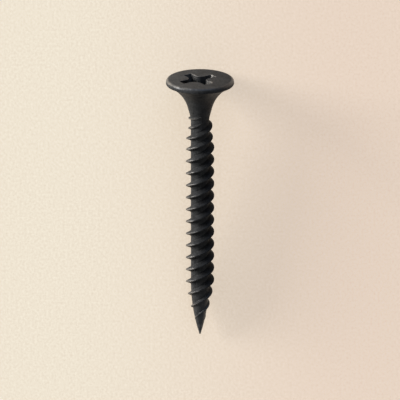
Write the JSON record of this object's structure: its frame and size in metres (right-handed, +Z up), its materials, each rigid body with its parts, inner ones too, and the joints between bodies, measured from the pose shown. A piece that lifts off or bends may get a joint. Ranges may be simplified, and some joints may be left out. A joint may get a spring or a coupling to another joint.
{
  "type": "drywall screw",
  "caption": "Black bugle-head screw with a cross recess, a steep right-hand thread and a sharp point, lying on its side.",
  "frame": {"origin": "on the surface that the screw lies on, under the middle of its box", "axes": "+X towards the head, along the screw's length as it lies; +Z up. The screw's own axis rises 5.4 degrees towards the head, which is wider than the thread"},
  "size_m": [0.0342, 0.0086, 0.0085],
  "materials": {
    "black_phosphated_steel": "matt black phosphate over steel, near black with a faint crystalline grain"
  },
  "bodies": {
    "root": {"drywall_screw": "black_phosphated_steel"}
  },
  "joints": []
}
